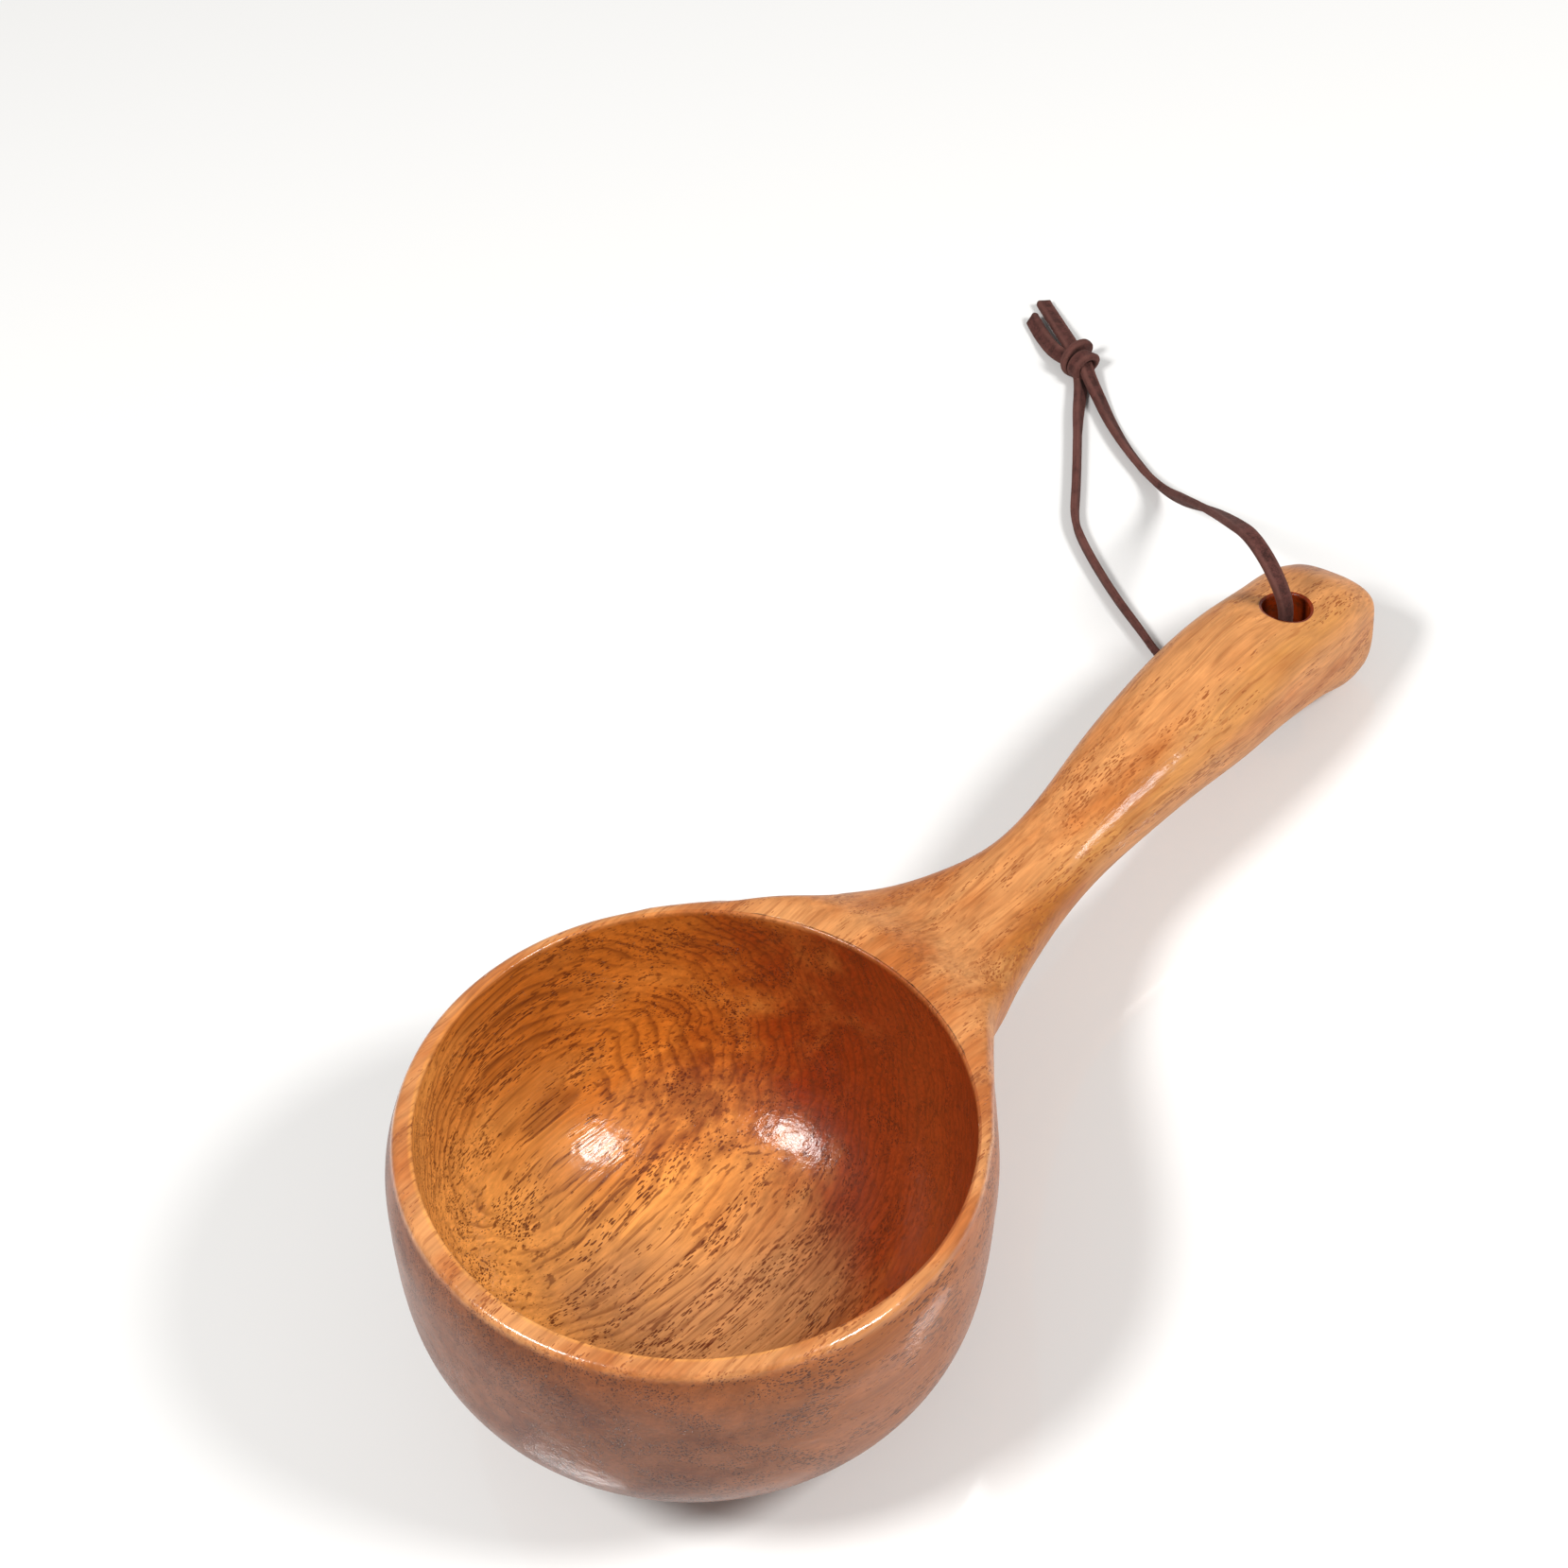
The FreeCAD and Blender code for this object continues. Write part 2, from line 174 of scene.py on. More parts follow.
# Dipper: one block of open-grained hardwood. It is shaped with its rim level, in mm, and then
# laid back the way it rests.
dipper = {
    "lean": 10.7748,          # degrees the block leans when at rest
    "bowlRadius": 61.8, "bowlHeight": 64.0, "bellyDrop": 12.0, "wallRadius": 235.0,
    "wallTurn": 6.2, "shoulderRadius": 27.8, "footCut": 4.9,
    "rimRadius": 60.0, "rimFallWidth": 1.6, "rimFall": 1.5,
    "rimFallBulge": 0.38, "lipRadius": 0.6,
    "hollowRadius": 56.6, "hollowDepth": 57.0, "hollowWallRadius": 112.0,
    "hollowWallTurn": 13.5, "hollowShoulderRadius": 36.6, "hollowOffset": 1.4,
    "reach": 220.4, "gripHalfWidth": 15.0, "gripDepth": 24.0, "gripRise": 3.3,
    "neckDrop": 8.7, "endRoll": 10.3, "endLean": 2.0,
    "holeRadius": 5.4, "holeReach": 197.0, "holeSide": -1.1, "holeMouth": 0.8,
    "holeSides": 64, "rayStarts": (40.0, -60.0),    # heights above and below the handle
    # place, half width, top, underside, crown, twist, roundness of the top and of the underside
    "stationShares": (
        (0.172, 3.04, 0.55, 2.20, 0.20, 0.00, 3.2, 2.2),
        (0.236, 2.37, 0.50, 1.97, 0.19, 0.00, 3.2, 2.2),
        (0.268, 2.00, 0.30, 1.64, 0.19, 0.00, 3.2, 2.2),
        (0.299, 1.67, -0.13, 1.37, 0.19, 0.00, 3.2, 2.2),
        (0.331, 1.48, -0.48, 1.26, 0.20, 0.00, 3.1, 2.2),
        (0.363, 1.29, -0.74, 1.19, 0.22, 0.00, 3.0, 2.2),
        (0.426, 0.97, -0.99, 1.15, 0.26, 0.00, 2.8, 2.3),
        (0.490, 0.75, -1.00, 1.12, 0.29, 0.00, 2.5, 2.3),
        (0.554, 0.71, -0.63, 1.03, 0.32, 0.00, 2.4, 2.3),
        (0.626, 0.82, -0.14, 0.94, 0.34, 0.04, 2.3, 2.3),
        (0.699, 0.92, 0.58, 0.93, 0.37, 0.24, 2.3, 2.3),
        (0.771, 1.00, 0.94, 0.98, 0.38, 0.55, 2.3, 2.3),
        (0.844, 0.99, 1.00, 0.995, 0.39, 0.84, 2.4, 2.5),
        (0.912, 0.95, 0.30, 1.035, 0.42, 0.99, 2.7, 3.2),
        (0.958, 0.90, -0.14, 1.19, 0.40, 1.00, 2.7, 3.3),
        (0.980, 0.85, -0.44, 1.21, 0.34, 1.00, 2.7, 3.3),
        (0.993, 0.74, -0.76, 1.14, 0.23, 1.00, 2.7, 3.3),
        (1.000, 0.54, -1.11, 0.99, 0.13, 1.00, 2.7, 3.3),
    ),
    "rootEnd": 74.0,          # as far as here the handle is still merging with the bowl
    "rootDepth": 59.0,        # how far below the rim the merged patch reaches
    "rootColumns": 56,        # faces across the merged patch
    "freeColumns": 140,       # faces round the rest of the bowl
    "rootRings": 34,
    "handleRings": 150,
    "rootMiddle": -28.0,      # height from which the patch's rays start out
    "blendReach": 8.0,        # how wide the flare is worked into the wall, half of it at the rim
    "easingTurns": 20,        # how often a turned profile is worked over
    # place along the handle and angle round the section where the top turns over into the side
    "creases": ((40, 28), (66, 28), (110, 34), (160, 40), (221, 42)),
    "creaseSpan": (58, 80, 200, 216),    # along the handle: where its darker olive band begins and ends
    "creaseWidth": 4.2,
    "rimSoftness": (50, 62, 0.25, 1.25),  # from here to there the rim's level fades into the flare
}


# Curve through a table's values with continuous curvature
def smoothThrough(xs, ys, at):
    xs, ys = np.asarray(xs, float), np.asarray(ys, float)
    n = len(xs)
    h = np.diff(xs)
    a = np.eye(n)
    b = np.zeros(n)
    for i in range(1, n - 1):
        a[i, i - 1:i + 2] = h[i - 1], 2 * (h[i - 1] + h[i]), h[i]
        b[i] = 6 * ((ys[i + 1] - ys[i]) / h[i] - (ys[i] - ys[i - 1]) / h[i - 1])
    second = np.linalg.solve(a, b)
    at = np.asarray(at, float)
    k = np.clip(np.searchsorted(xs, at) - 1, 0, n - 2)
    left, right = at - xs[k], xs[k + 1] - at
    bend = (second[k] * right ** 3 + second[k + 1] * left ** 3) / (6 * h[k])
    return (bend + (ys[k] / h[k] - second[k] * h[k] / 6) * right
            + (ys[k + 1] / h[k] - second[k + 1] * h[k] / 6) * left)


# Radius and height down a turned wall: three tangent arcs, the last one as far as the end's
# height
def turnedProfile(top, lowest, upperRadius, turn, lowerRadius, end, steps):
    first = math.radians(turn)
    upperMiddle = np.array([top[0] - upperRadius, top[1]])
    way = np.array([math.cos(first), -math.sin(first)])
    lowerMiddle = upperMiddle + way * (upperRadius - lowerRadius)
    left = lowerMiddle[1] - lowest - lowerRadius
    second = 2 * math.atan2(lowerMiddle[0], left) - math.pi / 2
    acrossRadius = lowerRadius + left / (1 - math.sin(second))
    acrossMiddle = np.array([0, lowest + acrossRadius])
    third = math.asin(min(1, (acrossMiddle[1] - end) / acrossRadius))
    points = []
    arcs = ((upperMiddle, upperRadius, 0, first), (lowerMiddle, lowerRadius, first, second),
            (acrossMiddle, acrossRadius, second, third))
    for (middle, radius, start, stop), count in zip(arcs, steps):
        for angle in np.linspace(start, stop, count + 1)[1:]:
            points.append(middle + radius * np.array([math.cos(angle), -math.sin(angle)]))
    return points


# Evenly spaced again and worked over, so that no change of curvature shows in the gloss
def easedLine(points, turns):
    line = np.array(points)
    run = np.concatenate([[0], np.cumsum(np.linalg.norm(np.diff(line, axis=0), axis=1))])
    even = np.linspace(0, run[-1], len(line))
    line = np.stack([np.interp(even, run, line[:, i]) for i in range(2)], 1)
    for turn in range(turns):
        line[1:-1] = (line[:-2] + 2 * line[1:-1] + line[2:]) / 4
    return list(line)


def bulged(start, end, bulge, count):
    start, end = np.asarray(start, float), np.asarray(end, float)
    across = end - start
    outwards = np.array([-across[1], across[0]]) / np.linalg.norm(across)
    shares = np.linspace(0, 1, count + 1)[1:]
    return [start + across * t + outwards * bulge * 4 * t * (1 - t) for t in shares]


# Rows of the bowl outside, from the rim's flat to the foot: (radius, height)
def outsideRows(s):
    flat = (s["rimRadius"] - s["rimFallWidth"], 0.0)
    edge = (s["rimRadius"], -s["rimFall"])
    belly = (s["bowlRadius"], -s["bellyDrop"])
    rise = s["bellyDrop"] - s["rimFall"]
    inset = s["bowlRadius"] - s["rimRadius"]
    radius = (rise ** 2 + inset ** 2) / (2 * inset)
    bulge = radius - math.sqrt(radius ** 2 - (rise ** 2 + inset ** 2) / 4)
    rows = [np.array(flat)]
    rows += bulged(flat, edge, s["rimFallBulge"], 5)
    rows += bulged(edge, belly, bulge, 8)
    rows += easedLine(turnedProfile(
        belly, -s["bowlHeight"] - s["footCut"], s["wallRadius"], s["wallTurn"],
        s["shoulderRadius"], -s["bowlHeight"], (16, 24, 5)), s["easingTurns"])
    return rows


# Rows of the hollow, from the lip's inner edge down to the middle of the floor
def insideRows(s):
    rows = easedLine(turnedProfile(
        (s["hollowRadius"], 0), -s["hollowDepth"], s["hollowWallRadius"], s["hollowWallTurn"],
        s["hollowShoulderRadius"], -s["hollowDepth"], (18, 34, 18)), s["easingTurns"])
    return [r for r in rows if r[1] < -s["lipRadius"]]


def lipRows(s):
    middle = np.array([s["hollowRadius"] + s["lipRadius"], -s["lipRadius"]])
    angles = np.linspace(math.pi, math.pi / 2, 6)
    return [middle + s["lipRadius"] * np.array([math.cos(a), math.sin(a)]) for a in angles]


# All of the handle's sizes at places along it
def stationSizes(s, x):
    table = np.array(s["stationShares"])
    place = np.clip(np.asarray(x, float) / s["reach"], table[0, 0], 1)
    tops = table[:, 2] * np.where(table[:, 2] > 0, s["gripRise"], s["neckDrop"])
    read = [smoothThrough(table[:, 0], column, place) for column in (
        table[:, 1] * s["gripHalfWidth"], tops, -table[:, 3] * s["gripDepth"],
        table[:, 4] * s["gripDepth"], table[:, 5], table[:, 6], table[:, 7])]
    names = ("halfWidth", "top", "under", "crown", "twist", "roundTop", "roundUnder")
    return dict(zip(names, read))


# Keeps the top of the flare from rising above the rim's level
def smoothLevel(z, soft):
    return np.where(z > -soft, np.where(z > soft, 0, -(z - soft) ** 2 / (4 * soft)), z)


def rimSoftness(s, x):
    start, end, least, most = s["rimSoftness"]
    return least + (most - least) * np.clip((x - start) / (end - start), 0, 1)


# Points of one section of the handle at angles round it, before the roll
def sectionPoints(s, x, angles):
    v = {name: float(value) for name, value in stationSizes(s, x).items()}
    c, d = np.cos(angles), np.sin(angles)
    widest = v["top"] - v["crown"]
    power = 2 / np.where(d > 0, v["roundTop"], v["roundUnder"])
    height = np.where(d > 0, v["crown"], widest - v["under"])
    y = np.sign(c) * np.abs(c) ** power * v["halfWidth"]
    z = widest + np.sign(d) * np.abs(d) ** power * height
    if x < s["rootEnd"] + 6:
        z = smoothLevel(z, rimSoftness(s, x))
    middle = (v["top"] + v["under"]) / 2
    halfDepth = (v["top"] - v["under"]) / 2
    roll = math.radians(s["endRoll"]) * v["twist"]
    turnedY = y * math.cos(roll) + (z - middle) * math.sin(roll)
    turnedZ = (z - middle) * math.cos(roll) - y * math.sin(roll)
    along = x + s["endLean"] * v["twist"] * turnedZ / halfDepth
    return np.stack([along, turnedY, middle + turnedZ], 1)


# Points spaced evenly along a line of points
def spacedAlong(points, shares):
    steps = np.linalg.norm(np.diff(points, axis=0), axis=1)
    run = np.concatenate([[0], np.cumsum(steps)])
    at = np.asarray(shares) * run[-1]
    return np.stack([np.interp(at, run, points[:, i]) for i in range(3)], 1)


# Angle round the section at which the top turns over into the side
def creaseAngle(s, x):
    places, angles = zip(*s["creases"])
    return math.radians(np.interp(x, places, angles))


# One ring of the handle: evenly across the top, then evenly round the side and underside
def handleRing(s, x, topShares, sideShares):
    crease = creaseAngle(s, x)
    top = sectionPoints(s, x, np.linspace(crease, math.pi - crease, 400))
    side = sectionPoints(s, x, np.linspace(math.pi - crease, 2 * math.pi + crease, 900))
    return spacedAlong(top, topShares), spacedAlong(side, sideShares)


def bowlRadiusAt(rows, z):
    table = np.array(rows)
    order = np.argsort(table[:, 1])
    return np.interp(z, table[order, 1], table[order, 0])


# Below zero inside the bowl or the handle, in mm; the two run into each other in a soft hollow
def blockGap(s, rows, x, y, z):
    v = stationSizes(s, x)
    widest = v["top"] - v["crown"]
    above = z > widest
    height = np.where(above, v["crown"], widest - v["under"])
    power = np.where(above, v["roundTop"], v["roundUnder"])
    outness = np.abs(y / v["halfWidth"]) ** power + np.abs((z - widest) / height) ** power + 1e-9
    handle = np.hypot(y, z - widest) * (1 - outness ** (-1 / power))
    bowl = np.hypot(x, y) - bowlRadiusAt(rows, z)
    reach = s["blendReach"] * (0.5 + 0.5 * np.clip(-z / 20, 0, 1))
    near = np.maximum(reach - np.abs(bowl - handle), 0)
    return np.minimum(bowl, handle) - near ** 2 / (4 * reach)


# How far out a ray from the section's middle leaves the block
def rootRadius(s, rows, x, angle, middle):
    low = np.zeros_like(x)
    high = np.full_like(x, 90.0)
    for turn in range(40):
        r = (low + high) / 2
        y, z = r * np.cos(angle), middle + r * np.sin(angle)
        inside = blockGap(s, rows, x, y, np.minimum(z, 0)) < 0
        inside &= (z < 0) & (z > -s["bowlHeight"])
        low, high = np.where(inside, r, low), np.where(inside, high, r)
    return low


# The bowl's wall beside the handle, seen from its axis
def wallRadius(s, rows, radius, height, angles):
    if height < -s["rootDepth"]:
        return np.full_like(angles, radius)
    low = np.full_like(angles, radius - 0.5)
    high = np.full_like(angles, radius + 7.0)
    for turn in range(30):
        r = (low + high) / 2
        inside = blockGap(s, rows, r * np.cos(angles), r * np.sin(angles), height) < 0
        low, high = np.where(inside, r, low), np.where(inside, high, r)
    near = np.cos(angles) > 0.2
    return np.where(near, low, radius)


# Bowl with the border and the surface of the patch where the handle grows out of it
def bowlAndRoot(s):
    rows = outsideRows(s)
    flatRadius = rows[0][0]

    # the corner where the rim's edge runs over into the handle's edge
    lowX, highX = 30.0, flatRadius
    for turn in range(50):
        x = (lowX + highX) / 2
        edge = sectionPoints(s, x, np.array([creaseAngle(s, x)]))[0]
        if math.hypot(x, edge[1]) < flatRadius:
            lowX = x
        else:
            highX = x
    corner = math.atan2(edge[1], x)

    rootAngles = np.linspace(-corner, corner, s["rootColumns"] + 1)
    freeAngles = np.linspace(corner, 2 * math.pi - corner, s["freeColumns"] + 1)[1:-1]
    angles = np.concatenate([rootAngles, freeAngles])
    columns = len(angles)
    rootCount = len(rootAngles)

    verts = []
    faces = []
    inside = []                # 1 in the hollow, 0 outside

    def addRing(points, share):
        start = len(verts)
        verts.extend(points)
        inside.extend([share] * len(points))
        return list(range(start, start + len(points)))

    def turnedRing(radius, height, offset):
        return [(offset + radius * math.cos(a), radius * math.sin(a), height) for a in angles]

    def joinRings(a, b, first=0):
        for i in range(first, columns):
            j = (i + 1) % columns
            faces.append((a[i], b[i], b[j], a[j]))

    # hollow, lip and rim
    inner = insideRows(s)
    rings = []
    bottom = addRing([(s["hollowOffset"], 0, -s["hollowDepth"])], 1.0)[0]
    for radius, height in reversed(inner[:-1]):
        rings.append(addRing(turnedRing(radius, height, s["hollowOffset"]), 1.0))
    for radius, height in lipRows(s):
        rings.append(addRing(turnedRing(radius, height, s["hollowOffset"]), 0.5))
    lip = lipRows(s)[-1][0]
    for share in (0.25, 0.5, 0.75):
        radius = lip + (flatRadius - lip) * share
        rings.append(addRing(turnedRing(radius, 0, s["hollowOffset"] * (1 - share)), 0.0))
    for i in range(columns):
        faces.append((bottom, rings[0][i], rings[0][(i + 1) % columns]))

    # outside: the rows that the handle's root covers stop at its borders
    lastRoot = max(i for i, row in enumerate(rows) if row[1] > -s["rootDepth"])
    outside = []
    bare = np.array([0 if 0 < i < rootCount - 1 else 1 for i in range(columns)])
    edgeGrows = wallRadius(s, rows, s["rimRadius"], -s["rimFall"], angles) - s["rimRadius"]
    for radius, height in rows[:-1]:
        if height > -s["rimFall"]:
            share = (radius - flatRadius) / (s["rimRadius"] - flatRadius)
            out = radius + edgeGrows * bare * (0.6 + 0.4 * share)
        else:
            out = radius + (wallRadius(s, rows, radius, height, angles) - radius) * bare
        points = np.stack([out * np.cos(angles), out * np.sin(angles), np.full(columns, height)], 1)
        outside.append(addRing([tuple(p) for p in points], 0.0))
    rings.append(outside[0])
    for a, b in zip(rings, rings[1:]):
        joinRings(a, b)
    for number, (a, b) in enumerate(zip(outside, outside[1:])):
        joinRings(a, b, first=rootCount - 1 if number < lastRoot else 0)
    foot = addRing([(0, 0, -s["bowlHeight"])], 0.0)[0]
    for i in range(columns):
        faces.append((foot, outside[-1][(i + 1) % columns], outside[-1][i]))

    # the root's border, round from one corner over the rim's edge to the other and back below
    topLoop = [outside[0][i] for i in range(rootCount - 1, -1, -1)]    # +Y to -Y across the rim
    down = [outside[r][0] for r in range(1, lastRoot + 1)]
    across = [outside[lastRoot][i] for i in range(1, rootCount - 1)]
    up = [outside[r][rootCount - 1] for r in range(lastRoot, 0, -1)]
    sideLoop = down + across + up                                      # -Y round below to +Y
    topPoints = np.array([verts[i] for i in topLoop])
    sidePoints = np.array([verts[i] for i in sideLoop])

    topShares = np.linspace(0, 1, rootCount)
    border = np.vstack([topPoints[-1:], sidePoints, topPoints[:1]])
    run = np.concatenate([[0], np.cumsum(np.linalg.norm(np.diff(border, axis=0), axis=1))])
    sideShares = run / run[-1]

    endTop, endSide = handleRing(s, s["rootEnd"], topShares, sideShares)
    endMiddle = float(stationSizes(s, s["rootEnd"])["under"]) / 2

    def creaseHalfWidth(x):
        return np.array([
            sectionPoints(s, float(v), np.array([creaseAngle(s, v)]))[0][1] for v in x])

    # from the border to the end of the root
    startRatio = topPoints[:, 1] / creaseHalfWidth(topPoints[:, 0])
    endRatio = endTop[:, 1] / endTop[0, 1]
    startMiddle = s["rootMiddle"]
    startAngle = np.arctan2(border[:, 2] - startMiddle, border[:, 1])
    endAngle = np.arctan2(endSide[:, 2] - endMiddle, endSide[:, 1])
    startAngle = np.unwrap(np.where(startAngle > math.pi / 2, startAngle - 2 * math.pi, startAngle))
    endAngle = np.unwrap(np.where(endAngle > math.pi / 2, endAngle - 2 * math.pi, endAngle))
    count = s["rootRings"]
    grid = []
    for k in range(1, count + 1):
        share = k / count
        x = topPoints[:, 0] + (s["rootEnd"] - topPoints[:, 0]) * share
        ratio = startRatio + (endRatio - startRatio) * share
        y = ratio * creaseHalfWidth(x)
        top = []
        for xi, yi in zip(x, y):
            v = stationSizes(s, xi)
            widest = float(v["top"] - v["crown"])
            lift = max(0.0, 1 - abs(yi / float(v["halfWidth"])) ** float(v["roundTop"]))
            z = widest + float(v["crown"]) * lift ** (1 / float(v["roundTop"]))
            top.append((xi, yi, float(smoothLevel(np.array(z), rimSoftness(s, xi)))))
        xs = border[:, 0] + (s["rootEnd"] - border[:, 0]) * share
        angle = startAngle + (endAngle - startAngle) * share
        middle = startMiddle + (endMiddle - startMiddle) * share
        radius = rootRadius(s, rows, xs, angle, middle)
        side = np.stack([xs, radius * np.cos(angle), middle + radius * np.sin(angle)], 1)
        grid.append((np.array(top), side[1:-1]))
    return dict(verts=verts, faces=faces, inside=inside, loop=topLoop + sideLoop,
                grid=grid, topShares=topShares, sideShares=sideShares)


# Whole body as one closed mesh, laid back the way it rests
def wholeBody(s):
    made = bowlAndRoot(s)
    verts, faces, inside = made["verts"], made["faces"], made["inside"]
    crease = [0.0] * len(verts)        # 1 along the edge between the top and the -Y side
    begin, full, fading, gone = s["creaseSpan"]

    def joinLoops(a, b):
        n = len(a)
        for i in range(n):
            j = (i + 1) % n
            faces.append((a[i], a[j], b[j], b[i]))

    def addLoop(top, side):
        start = len(verts)
        verts.extend([tuple(p) for p in top])
        verts.extend([tuple(p) for p in side])
        inside.extend([0.0] * (len(top) + len(side)))
        corner = top[0] if top[0][1] < top[-1][1] else top[-1]
        for p in verts[start:]:
            along = np.interp(p[0], (begin, full), (0, 1)) * np.interp(p[0], (fading, gone), (1, 0))
            gap = np.linalg.norm(np.array(p) - corner)
            crease.append(along * math.exp(-(gap / s["creaseWidth"]) ** 2))
        return list(range(start, len(verts)))

    last = made["loop"]
    for top, side in made["grid"]:
        new = addLoop(top, side)
        joinLoops(last, new)
        last = new
    for x in np.linspace(s["rootEnd"], s["reach"], s["handleRings"] + 1)[1:]:
        top, side = handleRing(s, float(x), made["topShares"], made["sideShares"])
        new = addLoop(top, side[1:-1])
        joinLoops(last, new)
        last = new

    # end face
    ringPoints = np.array([verts[i] for i in last])
    centre = ringPoints.mean(0)
    for share in (0.85, 0.6, 0.3):
        new = addLoop(centre + (ringPoints - centre) * share, [])
        joinLoops(last, new)
        last = new
    middle = addLoop([centre], [])[0]
    for i in range(len(last)):
        faces.append((last[i], last[(i + 1) % len(last)], middle))
    verts = np.array(verts, float)
    print("dipper blank:", len(verts), "vertices", len(faces), "faces")

    lean = math.radians(s["lean"])
    c, d = math.cos(lean), math.sin(lean)
    laid = np.stack([verts[:, 0] * c + verts[:, 2] * d, verts[:, 1],
                     verts[:, 2] * c - verts[:, 0] * d], 1)
    lo, hi = (np.array(v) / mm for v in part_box("dipper_body"))
    shift = (lo + hi) / 2 - (laid.min(0) + laid.max(0)) / 2
    shift[2] = lo[2] - laid[:, 2].min()
    print("shift", shift, "own size", laid.max(0) - laid.min(0), "frame", hi - lo)
    laid = (laid + shift) * mm
    used = sorted({i for face in faces for i in face})
    numbers = {old: new for new, old in enumerate(used)}
    faces = [tuple(numbers[i] for i in face) for face in faces]
    return laid[used], faces, [inside[i] for i in used], [crease[i] for i in used]


addCamera(photoCamera)
addFloor(floorBoard)
addLights(studioLight)
print("camera, floor and lights made")

# Wood: open-pored hardwood, brown and unevenly coloured, turned and carved from one block with
# the grain along the handle, under several coats of clear gloss varnish. The eye reads short dark
# pores, fine dark lines, cloudy colour and a wet shine broken by the pores.
wood = {
    "restingPlace": (-75.228, 0.0, 68.973),   # mm: where the middle of the rim rests
    "lean": dipper["lean"],

    # outside: the handle, the wall's far and handle sides (painted shade), the crease's olive band,
    # inside the bore (painted shade)
    "pale": "#c68751", "honey": "#a8602d", "wall": "#6b361b", "wallWarm": "#985424",
    "olive": "#8f6420", "bore": "#4d240e",
    # hollow: near side, far side and handle side (the last two partly figure, partly painted
    # shade), floor and dark patch
    "amber": "#e0974a", "back": "#b9661f", "deep": "#781f03", "floor": "#aa754a",
    "stain": "#651f07",
    # lines and pores: in the hollow, on the wall and on the handle
    "line": "#5b240b", "poreTint": "#521f09", "wallPore": "#38180b", "softPore": "#8a4a22",

    # the figure, in mm along and across the grain
    "wanderSize": (60.0, 34.0), "waviness": 5.0, "driftSize": (90.0, 12.0),
    "fibreSize": (24.0, 0.75), "lineSize": (30.0, 0.95), "cloudSize": (42.0, 15.0),
    "mottleSize": (9.0, 3.2), "crowdSize": (24.0, 6.5), "poreSpacing": (4.2, 0.56),
    "rippleSize": (3.2, 3.2),
    "pith": (0.0, 120.0, -90.0),              # mm: the rings' middle line, outside the block
    "ringSpacing": 6.5, "fineSpacing": 2.1,   # mm
    "ringSway": 2.2, "fineSway": 4.0,         # how many rings the drift shifts them by

    # how far each part of the figure and each tone covers what is under it
    "mottleTone": 0.7, "fibreTone": 0.9, "ringShade": 0.14, "poreShade": 0.85,
    "boreShade": 0.85, "deepShade": 0.94, "floorShade": 0.85, "stainShade": 0.66,

    # zones, in mm from the middle of the rim: where each begins and where it is full
    "strayReach": 60.0,                       # how far the clouds can shift a zone
    "bowlEdge": (62.0, 74.0), "wallTop": (-2.6, -0.7), "flareStart": (46.0, 64.0),
    "flareDrop": 17.0, "gripStart": (105.0, 165.0), "handleCoat": (42.0, 66.0),
    "wallWay": (-20.0, 36.0), "deepWay": (-9.0, 40.0), "backWay": (8.0, 58.0),
    "floorWay": (30.0, -6.0), "floorLevel": (-48.0, -56.0),
    "patch": (32.0, 30.0, -45.0), "patchReach": (0.0, 17.0),
    "boreMiddle": (197.0, -1.1, 0.0), "boreEdge": (5.9, 5.4),

    # varnish: how much thinner the coat shows on the wall, the handle and in the hollow
    "wallThinner": 0.62, "handleThinner": 0.8, "hollowThinner": 0.5,
    "coatRoughness": 0.13, "poreDepth": 0.12, "coatDepth": 0.22,    # depths in mm
}


